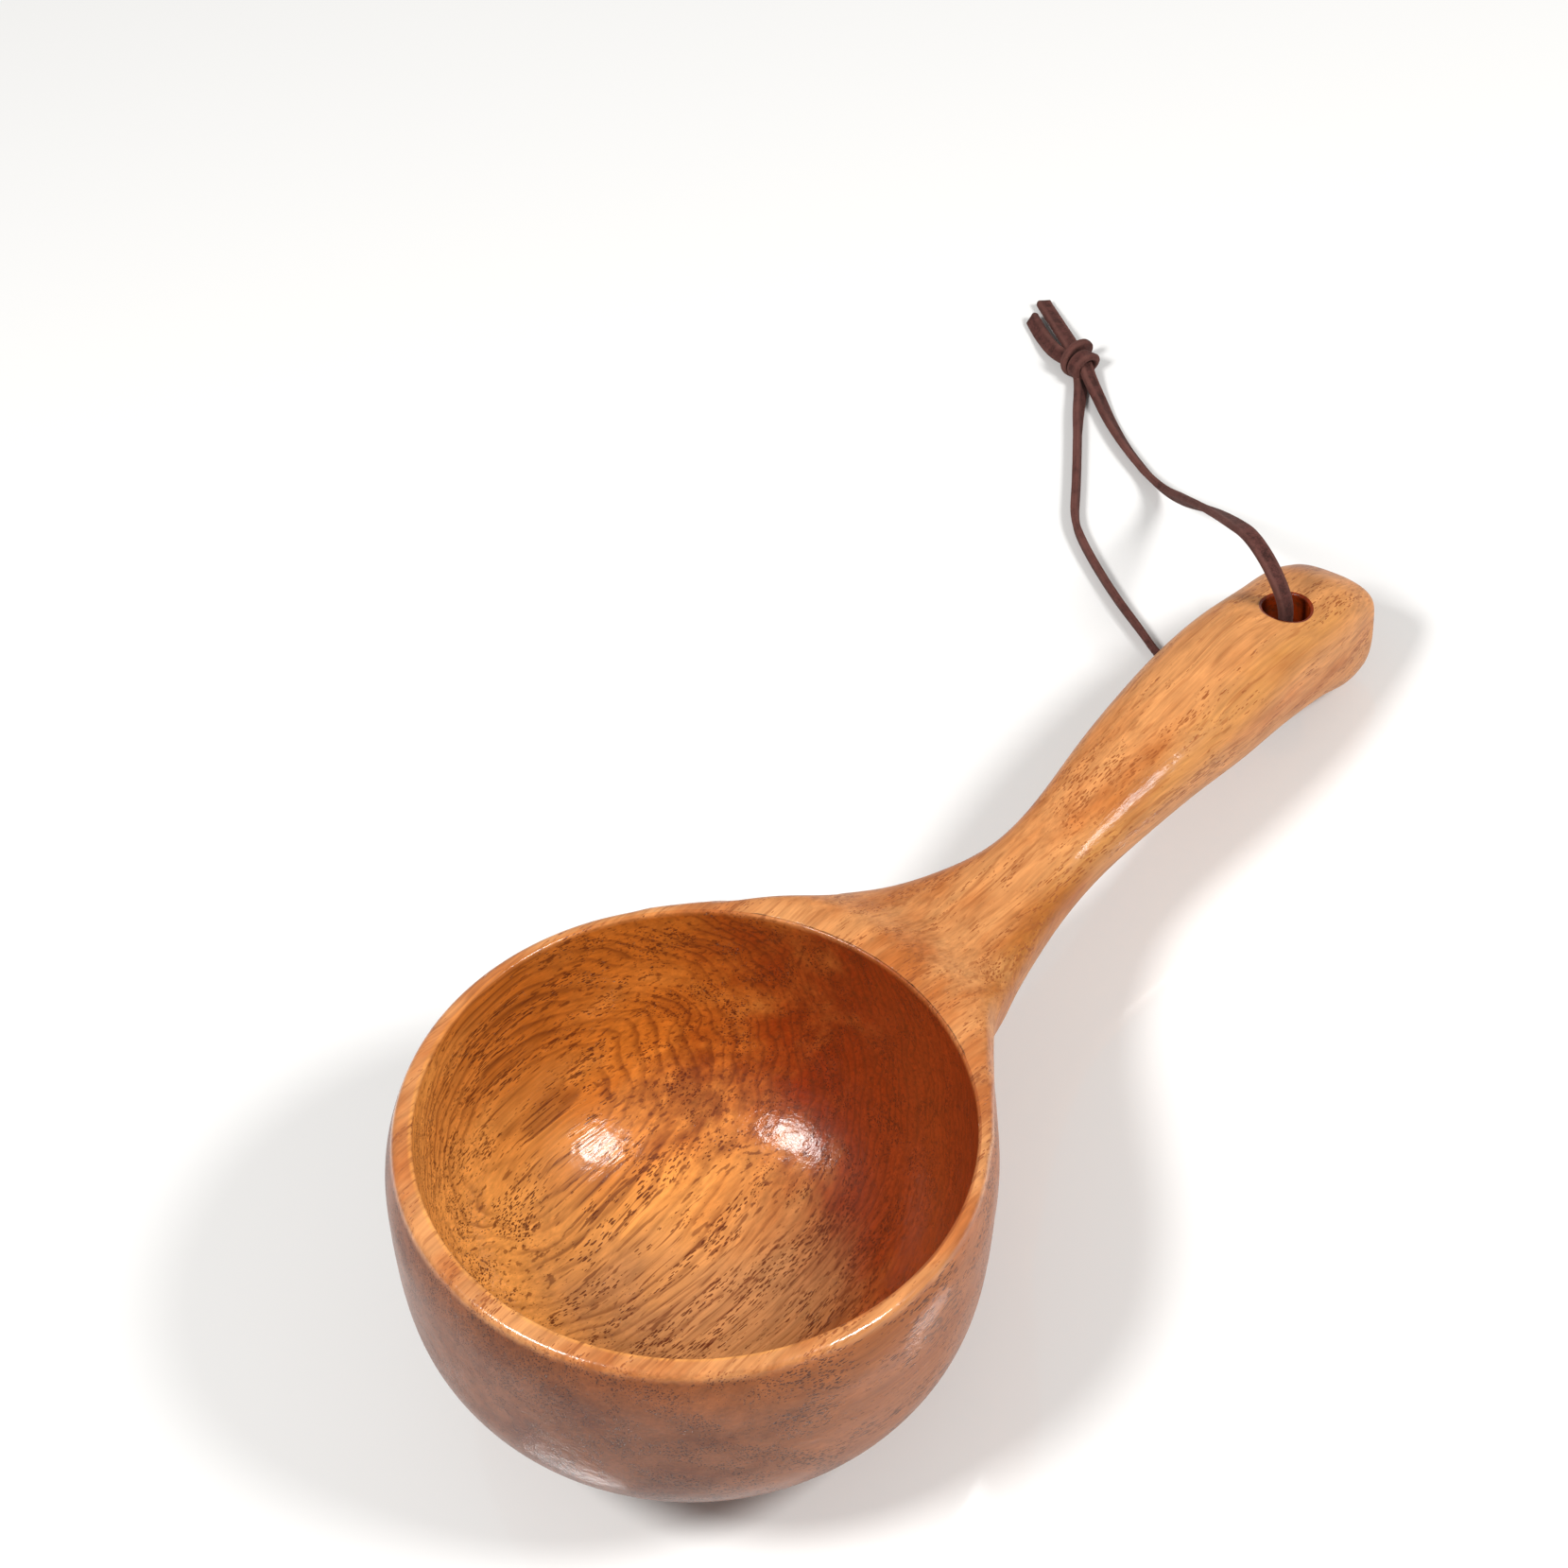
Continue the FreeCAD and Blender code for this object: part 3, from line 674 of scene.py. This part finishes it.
def woodMaterial(s):
    material, tree = newMaterial("glossVarnishedHardwood")

    def node(kind, settings=None, inputs=None, output=0):
        return addNode(tree, kind, settings, inputs, output)

    def maths(operation, a, b=None):
        inputs = {0: a} if b is None else {0: a, 1: b}
        return node("ShaderNodeMath", {"operation": operation}, inputs)

    def plus(first, *others):
        for other in others:
            first = maths("ADD", first, other)
        return first

    def times(first, *others):
        for other in others:
            first = maths("MULTIPLY", first, other)
        return first

    def less(a, b):
        return maths("SUBTRACT", a, b)

    def vectors(operation, a, b, output=0):
        return node("ShaderNodeVectorMath", {"operation": operation}, {0: a, 1: b}, output)

    def lengthOf(vector):
        return node("ShaderNodeVectorMath", {"operation": "LENGTH"}, {0: vector}, 1)

    def blend(share, a, b):
        a, b = (colour(s[c]) if isinstance(c, str) else c for c in (a, b))
        return node("ShaderNodeMix", {"data_type": "RGBA"}, {0: share, 6: a, 7: b}, 2)

    def span(value, low, high, lowOut=0.0, highOut=1.0):
        return node("ShaderNodeMapRange", {"interpolation_type": "SMOOTHSTEP"}, {
            "Value": value, "From Min": low, "From Max": high,
            "To Min": lowOut, "To Max": highOut})

    def sized(vector, size):
        along, across = size
        return vectors("DIVIDE", vector, (along, across, across))

    def noise(vector, size, detail=2.0, rough=0.5, output=0):
        return node("ShaderNodeTexNoise", None, {
            "Vector": sized(vector, size), "Scale": 1.0, "Detail": detail,
            "Roughness": rough}, output)

    def attribute(name):
        return node("ShaderNodeAttribute", {"attribute_name": name}, None, 2)

    # coordinates in mm from the middle of the rim, along the block
    place = node("ShaderNodeTexCoord", None, None, 3)
    fromRim = vectors("SUBTRACT", vectors("MULTIPLY", place, (1 / mm,) * 3), s["restingPlace"])
    laid = node("ShaderNodeMapping", None, {
        "Vector": fromRim, "Rotation": (0, math.radians(-s["lean"]), 0)})
    along = node("ShaderNodeSeparateXYZ", None, {0: laid})
    aside, up = along.node.outputs[1], along.node.outputs[2]

    # slow wander of the fibres, the same for everything that follows the grain
    wander = vectors("SUBTRACT", noise(laid, s["wanderSize"], output=1), (0.5,) * 3)
    wander = vectors("MULTIPLY", wander, (0, s["waviness"] * 2, s["waviness"] * 2))
    grain = vectors("ADD", laid, wander)

    # growth rings round the pith, unevenly spaced: broad weak ones and fine lines between them
    across = vectors("MULTIPLY", vectors("SUBTRACT", grain, s["pith"]), (0, 1, 1))
    radius = lengthOf(across)
    drift = noise(grain, s["driftSize"])

    def ringPhase(spacing, sway):
        return maths("FRACT", plus(maths("DIVIDE", radius, spacing), times(drift, sway)))

    phase = ringPhase(s["ringSpacing"], s["ringSway"])
    late = times(span(phase, 0.35, 0.93), span(phase, 0.93, 1.0, 1.0, 0.0))
    early = span(phase, 0.02, 0.30, 1.0, 0.0)
    phase = ringPhase(s["fineSpacing"], s["fineSway"])
    fineLine = times(span(phase, 0.45, 0.85), span(phase, 0.85, 1.0, 1.0, 0.0))

    # fibres, dark lines and cloudy colour
    fibre = noise(grain, s["fibreSize"], 3.0, 0.6)
    thread = noise(grain, s["lineSize"], 2.0, 0.55)
    cloud = noise(grain, s["cloudSize"], 4.0, 0.6)
    mottle = noise(grain, s["mottleSize"], 3.0, 0.6)
    stray = times(less(cloud, 0.5), s["strayReach"])

    # the bowl's outer wall, without the top of the flare
    inHollow = attribute("hollow")
    fromAxis = plus(lengthOf(vectors("MULTIPLY", laid, (1, 1, 0))), times(stray, 0.3))
    nearBowl = span(fromAxis, *s["bowlEdge"], 1.0, 0.08)
    lowered = plus(up, span(along, *s["flareStart"], 0.0, s["flareDrop"]))
    wallShare = times(span(lowered, *s["wallTop"], 1.0, 0.0), nearBowl,
                      span(cloud, 0.30, 0.72, 1.0, 0.72), less(1.0, inHollow))

    # pores: short dark slits along the grain, crowded in some bands
    crowd = noise(grain, s["crowdSize"], 3.0, 0.6)
    crowd = plus(crowd, plus(times(wallShare, 0.10), times(inHollow, 0.02)))
    crowded = maths("MINIMUM", plus(span(crowd, 0.40, 0.66), times(early, 0.35)), 1.0)

    def slits(share, offset, most):
        size = [length * part for length, part in zip(s["poreSpacing"], share)]
        cells = node("ShaderNodeTexVoronoi", None, {
            "Vector": vectors("ADD", sized(grain, size), (offset,) * 3), "Scale": 1.0})
        return span(less(times(crowded, most), cells), 0.0, 0.06)

    pore = maths("MAXIMUM", slits((1, 1), 0.0, 0.36), slits((0.55, 0.8), 7.3, 0.30))

    # ground colour of the outside
    towards = plus(times(along, 0.78), times(aside, -0.62), stray)
    away = plus(times(along, 0.62), times(aside, 0.78), stray)
    gripTone = span(along, *s["gripStart"], 0.0, 0.12)
    outside = blend(span(less(cloud, gripTone), 0.36, 0.66), "pale", "honey")
    # painted shade: the outer wall is coloured a darker brown than the handle, standing in for the
    # shade on it
    outside = blend(wallShare, outside, blend(span(towards, *s["wallWay"]), "wall", "wallWarm"))
    creaseShare = times(attribute("crease"), span(mottle, 0.3, 0.7, 0.2, 0.42))
    outside = blend(creaseShare, outside, "olive")
    # painted shade: inside the bore the colour is darkened, standing in for the shade in the hole
    fromBore = vectors("MULTIPLY", vectors("SUBTRACT", laid, s["boreMiddle"]), (1, 1, 0))
    boreShare = span(lengthOf(fromBore), *s["boreEdge"], 0.0, s["boreShade"])
    outside = blend(boreShare, outside, "bore")

    # ground colour of the hollow
    # partly painted shade: the far and handle sides of the hollow are coloured darker and redder,
    # partly the wood's own figure and partly standing in for the shade that falls there
    hollow = blend(span(away, *s["backWay"]), "amber", "back")
    hollow = blend(times(span(towards, *s["deepWay"]), s["deepShade"]), hollow, "deep")
    floorShare = span(plus(up, times(stray, 0.1)), *s["floorLevel"])
    nearShare = span(away, *s["floorWay"])
    hollow = blend(times(floorShare, nearShare, s["floorShade"]), hollow, "floor")
    fromPatch = plus(vectors("DISTANCE", laid, s["patch"], 1), times(less(mottle, 0.5), 30.0))
    hollow = blend(span(fromPatch, *s["patchReach"], s["stainShade"], 0.0), hollow, "stain")
    base = blend(inHollow, outside, hollow)

    # the figure over the ground colour
    tone = plus(times(less(mottle, 0.5), s["mottleTone"]), times(less(fibre, 0.5), s["fibreTone"]))
    base = node("ShaderNodeHueSaturation", None, {"Color": base, "Value": plus(tone, 1.0)})
    lineColour = blend(inHollow, "softPore", "line")
    poreColour = blend(maths("MAXIMUM", inHollow, wallShare), "softPore", "poreTint")
    poreColour = blend(wallShare, poreColour, "wallPore")
    threadMost = plus(span(crowd, 0.30, 0.60, 0.25, 0.55), times(inHollow, 0.2))
    fineShare = times(fineLine, inHollow, span(cloud, 0.36, 0.60, 0.10, 0.55))
    base = blend(times(late, s["ringShade"]), base, lineColour)
    base = blend(fineShare, base, lineColour)
    base = blend(times(span(thread, 0.56, 0.66), threadMost), base, lineColour)
    base = blend(times(pore, s["poreShade"]), base, poreColour)

    # varnish over it: thinner where the wood has drunk it, sunk a little into the pores
    onHandle = times(span(along, *s["handleCoat"]), less(1.0, wallShare), less(1.0, inHollow))
    thinner = plus(times(wallShare, s["wallThinner"]), times(onHandle, s["handleThinner"]),
                   times(inHollow, s["hollowThinner"]))
    height = plus(times(pore, -1.0), times(fibre, 0.55))
    coatHeight = plus(times(height, 0.8), times(noise(laid, s["rippleSize"], 1.0), 0.8))
    bump = node("ShaderNodeBump", None, {
        "Strength": 0.5, "Distance": s["poreDepth"] * mm, "Height": height})
    coatBump = node("ShaderNodeBump", None, {
        "Strength": 0.75, "Distance": s["coatDepth"] * mm, "Height": coatHeight})
    shader = node("ShaderNodeBsdfPrincipled", None, {
        "Base Color": base, "Roughness": 0.45, "IOR": 1.5, "Specular IOR Level": 0.08,
        "Normal": bump, "Coat Weight": less(1.0, thinner), "Coat IOR": 1.5,
        "Coat Roughness": s["coatRoughness"], "Coat Normal": coatBump})
    finishMaterial(tree, shader)
    return material


woodFinish = woodMaterial(wood)


# Cutter for the hanging hole: its mouths open out where the wood's surface lies
def holeCutter(s, body):
    tree = BVHTree.FromObject(body, bpy.context.evaluated_depsgraph_get())
    lean = Quaternion((0, 1, 0), math.radians(s["lean"]))
    rest = Vector(wood["restingPlace"])
    x, y, r, mouth = s["holeReach"], s["holeSide"], s["holeRadius"], s["holeMouth"]

    def placed(px, py, pz):
        return (lean @ Vector((px, py, pz)) + rest) * mm

    def surface(px, py, start):
        way = placed(px, py, -start) - placed(px, py, start)
        hit = tree.ray_cast(placed(px, py, start), way.normalized())[0]
        return (lean.inverted() @ (hit / mm - rest)).z

    # radius beyond the hole and depth under the surface; the first row stands well clear of it
    mouthRows = [(mouth * 1.02, -9.0)] + [
        (mouth * (1 - math.cos(a)), mouth * (1 - math.sin(a)))
        for a in (1.5, 1.25, 1.0, 0.75, 0.5, 0.25, 0)]
    above, below = s["rayStarts"]
    rows = [(out, depth, above) for out, depth in mouthRows]
    rows += [(out, depth, below) for out, depth in reversed(mouthRows)]
    verts, faces = [], []
    around = s["holeSides"]
    for out, depth, start in rows:
        for i in range(around):
            angle = 2 * math.pi * i / around
            px, py = x + (r + out) * math.cos(angle), y + (r + out) * math.sin(angle)
            level = surface(px, py, start)
            verts.append(placed(px, py, level - depth if start > 0 else level + depth))
    for row in range(len(rows) - 1):
        for i in range(around):
            j = (i + 1) % around
            a, b = row * around, (row + 1) * around
            faces.append((a + j, a + i, b + i, b + j))
    faces.append(tuple(range(around)))
    faces.append(tuple(reversed(range(len(verts) - around, len(verts)))))
    return newPiece("holeCutter", verts, faces, body.data.materials[0])


def boreHole(s, body):
    cutter = holeCutter(s, body)
    cut = body.modifiers.new("hole", "BOOLEAN")
    cut.operation = "DIFFERENCE"
    cut.solver = "EXACT"
    cut.object = cutter
    made = finalMesh(body)
    body.modifiers.clear()
    body.data = made
    bpy.data.objects.remove(cutter)
    print("hole bored:", len(made.vertices), "vertices")


verts, faces, inside, crease = wholeBody(dipper)
piece = newPiece("dipperWood", verts, faces, woodFinish)
for attribute, values in (("hollow", inside), ("crease", crease)):
    piece.data.attributes.new(attribute, "FLOAT", "POINT").data.foreach_set("value", values)
boreHole(dipper, piece)
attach(piece, "root")
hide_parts("dipper_body")
print("dipper made")


# Lace: flat suede strip, cut from split hide: matt, with a short nap and paler worn edges
lace = {
    "width": 3.8, "thickness": 1.8, "corner": 0.55, "faceDip": 0.03, "edgeSwell": 0.02,    # mm
    "tableGap": 0.05,                # mm
    "face": "#5c3530", "worn": "#654039", "shade": "#351d19", "sheen": "#a87f74",
    "napSize": 0.35, "napDepth": 0.3, "rubSize": 6.25, "blotchSize": 1.923,    # mm
    "boreMiddle": (116.055, -1.100),
    "boreHeading": -8.0,             # degrees the strip is turned in the bore
    # both routes start inside the bore: mm from its middle, and height above the table
    "upperRoute": (
        (0.1, 0.6, 20.7), (1.2, -0.3, 27.3), (2.1, -0.5, 34.2), (1.9, 0.8, 41.4),
        (3.4, 5.4, 46.6), (6.4, 12.5, 47.4), (10.1, 19.9, 42.0), (16.0, 28.7, 32.6),
        (21.8, 38.7, 22.6), (27.1, 48.8, 12.4), (31.4, 58.1, 4.6), (34.9, 67.3, 1.6),
        (37.8, 75.1, 1.6), (41.7, 83.0, 1.6), (46.7, 91.1, 2.1), (50.2, 97.3, 3.9),
        (53.0, 101.0, 4.9)),
    "lowerRoute": (
        (0.1, 0.6, 20.7), (-1.0, 1.5, 14.1), (-1.9, 3.0, 8.6), (-2.4, 3.6, 4.6),
        (-2.8, 6.3, 2.1), (-4.1, 10.9, 1.6), (-6.5, 17.1, 1.6), (-8.1, 23.9, 1.6),
        (-7.0, 30.8, 1.6), (-3.5, 38.8, 1.6), (-0.1, 47.6, 1.6), (4.1, 56.7, 1.6),
        (8.5, 65.1, 1.6), (13.1, 72.2, 1.6), (21.5, 78.2, 1.6), (30.2, 84.8, 1.6),
        (38.9, 91.6, 1.6), (45.5, 96.0, 1.6), (49.1, 98.8, 1.9), (51.4, 101.4, 2.7)),
    "upperLength": 0.1514, "lowerLength": 0.1397,
    "upperExit": (0.1186, -0.0011, 0.0340), "lowerExit": (0.1137, -0.0011, 0.0075),
    # share of the way, turn in degrees from lying the way it leaves the bore
    "upperTurns": ((0, 0), (0.25, 0), (0.42, 20), (0.6, 55), (0.8, 48), (1, 12)),
    "lowerTurns": ((0, 0), (0.12, 0), (0.3, 50), (0.62, 64), (0.85, 62), (1, 20)),
}


def suedeMaterial(s):
    material, tree = newMaterial("brownSplitSuede")

    def node(kind, settings=None, inputs=None, output=0):
        return addNode(tree, kind, settings, inputs, output)

    def noise(size, detail, rough=0.5):
        return node("ShaderNodeTexNoise", None, {
            "Vector": place, "Scale": 1 / (size * mm), "Detail": detail, "Roughness": rough})

    def span(value, lowOut=0.0):
        return node("ShaderNodeMapRange", None, {
            "Value": value, "From Min": 0.3, "From Max": 0.7, "To Min": lowOut, "To Max": 1.0})

    def maths(operation, a, b):
        return node("ShaderNodeMath", {"operation": operation}, {0: a, 1: b})

    def blend(share, a, b):
        return node("ShaderNodeMix", {"data_type": "RGBA"}, {0: share, 6: a, 7: b}, 2)

    # short nap in blotches, rubbed paler along the strip's edges
    place = node("ShaderNodeTexCoord", None, None, 3)
    blotches = maths("SUBTRACT", noise(s["blotchSize"], 3.0), 0.5)
    napped = maths("ADD", noise(s["napSize"], 4.0, 0.65), blotches)
    edge = node("ShaderNodeAttribute", {"attribute_name": "edge"}, None, 2)
    worn = maths("MULTIPLY", edge, span(noise(s["rubSize"], 3.0), 0.2))
    base = blend(span(napped), colour(s["shade"]), colour(s["face"]))
    base = blend(worn, base, colour(s["worn"]))
    bump = node("ShaderNodeBump", None, {
        "Strength": 0.8, "Distance": s["napDepth"] * mm, "Height": napped})
    shader = node("ShaderNodeBsdfPrincipled", None, {
        "Base Color": base, "Roughness": 0.92, "IOR": 1.45, "Specular IOR Level": 0.25,
        "Sheen Weight": 0.12, "Sheen Roughness": 0.45, "Sheen Tint": colour(s["sheen"]),
        "Normal": bump})
    finishMaterial(tree, shader)
    return material


# Points along the smooth line that a route's points steer
def smoothLine(name, route, steps=14):
    curve = bpy.data.curves.new(name, "CURVE")
    curve.dimensions = "3D"
    spline = curve.splines.new("NURBS")
    spline.points.add(len(route) - 1)
    for point, place in zip(spline.points, route):
        point.co = (*place, 1)
    spline.order_u = 3
    spline.use_endpoint_u = True
    spline.resolution_u = steps
    holder = bpy.data.objects.new(name, curve)
    bpy.context.scene.collection.objects.link(holder)
    made = finalMesh(holder)
    points = [v.co.copy() for v in made.vertices]
    bpy.data.objects.remove(holder)
    bpy.data.curves.remove(curve)
    bpy.data.meshes.remove(made)
    return points


def routeInFrame(s, rows):
    x, y = s["boreMiddle"]
    return [Vector(((x + a) * mm, (y + b) * mm, c * mm)) for a, b, c in rows]


# Outline of the strip's section, with its share of being on an edge
def stripSection(s):
    halfWidth, halfThickness, corner = s["width"] / 2, s["thickness"] / 2, s["corner"]
    outline = []
    flat = halfWidth - corner
    for sx, sy, start in ((1, 1, 0), (-1, 1, 90), (-1, -1, 180), (1, -1, 270)):
        for step in range(4):
            angle = math.radians(start + step * 30)
            outline.append((sx * flat + corner * math.cos(angle),
                            sy * (halfThickness - corner) + corner * math.sin(angle), 1.0))
        if sx * sy > 0:
            # the flat faces are a little hollow, the cut edges a little round
            outline += [(share * sx * flat, sy * (halfThickness - s["faceDip"]), 0.0)
                        for share in (0.5, 0.0, -0.5)]
        else:
            outline.append((sx * (halfWidth + s["edgeSwell"]), 0.0, 0.55))
    return outline


# Strip along a line of points, carried round its bends without twist, apart from its own turns
def stripPiece(name, s, points, firstAcross, turns, material):
    outline = stripSection(s)
    count = len(points)
    runs = [0.0]
    for a, b in zip(points, points[1:]):
        runs.append(runs[-1] + (b - a).length)
    shares, angles = zip(*turns)
    across = Vector(firstAcross)
    verts, faces, edge = [], [], []
    ahead = (points[1] - points[0]).normalized()
    for i, point in enumerate(points):
        way = (points[min(i + 1, count - 1)] - points[max(i - 1, 0)]).normalized()
        across = ahead.rotation_difference(way) @ across
        across = (across - way * across.dot(way)).normalized()
        ahead = way
        turn = math.radians(np.interp(runs[i] / runs[-1], shares, angles))
        wide = Quaternion(way, turn) @ across
        thick = way.cross(wide)
        ring = [point + wide * (u * mm) + thick * (v * mm) for u, v, worn in outline]
        edge += [worn for u, v, worn in outline]
        lift = max(0.0, s["tableGap"] * mm - min(p.z for p in ring))
        verts.extend(p + Vector((0, 0, lift)) for p in ring)
    n = len(outline)
    for i in range(count - 1):
        for j in range(n):
            k = (j + 1) % n
            faces.append((i * n + j, i * n + k, (i + 1) * n + k, (i + 1) * n + j))
    for start, flip in ((0, True), ((count - 1) * n, False)):
        cap = list(range(start, start + n))
        faces.append(tuple(reversed(cap)) if flip else tuple(cap))
    piece = newPiece(name, verts, faces, material)
    piece.data.attributes.new("edge", "FLOAT", "POINT").data.foreach_set("value", edge)
    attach(piece, "root")
    return piece


suede = suedeMaterial(lace)
boreHeading = math.radians(lace["boreHeading"])
boreAcross = (math.cos(boreHeading), math.sin(boreHeading), 0)
upperPoints = smoothLine("upperLine", routeInFrame(lace, lace["upperRoute"]))
lowerPoints = smoothLine("lowerLine", routeInFrame(lace, lace["lowerRoute"]))
upper = stripPiece("upperStrand", lace, upperPoints, boreAcross, lace["upperTurns"], suede)
lower = stripPiece("lowerStrand", lace, lowerPoints, boreAcross, lace["lowerTurns"], suede)
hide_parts("lace_upper_strand")
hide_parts("lace_lower_strand")


# Knot: both ends wound round each other and pulled tight
knot = {
    "centre": (168.46, 100.40, 3.95),      # mm
    "heading": 66.0,                       # degrees, from the strands towards the ends
    "helixRadius": 3.15, "pitch": 3.3, "helixStart": -3.0,    # mm
    "helixFrom": -60, "helixStep": 36, "helixPoints": 21,     # degrees, degrees, count
    "helixTurns": ((0, 14), (1, -10)),
    # name, route from the bore like the lace's, turns along it
    "ends": (
        ("firstEnd", ((53.2, 102.8, 3.9), (55.8, 107.4, 3.3), (59.8, 115.0, 2.3),
                      (63.8, 122.4, 1.2)), ((0, 10), (1, 22))),
        ("secondEnd", ((51.6, 102.6, 3.9), (51.3, 107.0, 3.2), (53.7, 113.8, 2.2),
                       (57.8, 121.2, 1.2)), ((0, -30), (1, -50)))),
}


def knotPieces(s, strip, material):
    heading = math.radians(s["heading"])
    ahead = Vector((math.cos(heading), math.sin(heading), 0))
    side = Vector((-math.sin(heading), math.cos(heading), 0))
    winding = []
    for i in range(s["helixPoints"]):
        turn = i * s["helixStep"]
        angle = math.radians(s["helixFrom"] + turn)
        along = s["helixStart"] + s["pitch"] * turn / 360
        out = side * math.cos(angle) + Vector((0, 0, math.sin(angle)))
        winding.append((Vector(s["centre"]) + ahead * along + out * s["helixRadius"]) * mm)
    parts = [("knotTurns", winding, ahead, s["helixTurns"])]
    for name, route, turns in s["ends"]:
        parts.append((name, routeInFrame(strip, route), side, turns))
    return [stripPiece(name, strip, smoothLine(name + "Line", route), across, turns, material)
            for name, route, across, turns in parts]


knotParts = knotPieces(knot, lace, suede)
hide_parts("lace_knot")
print("lace made")

bpy.context.scene.view_settings.view_transform = "Standard"
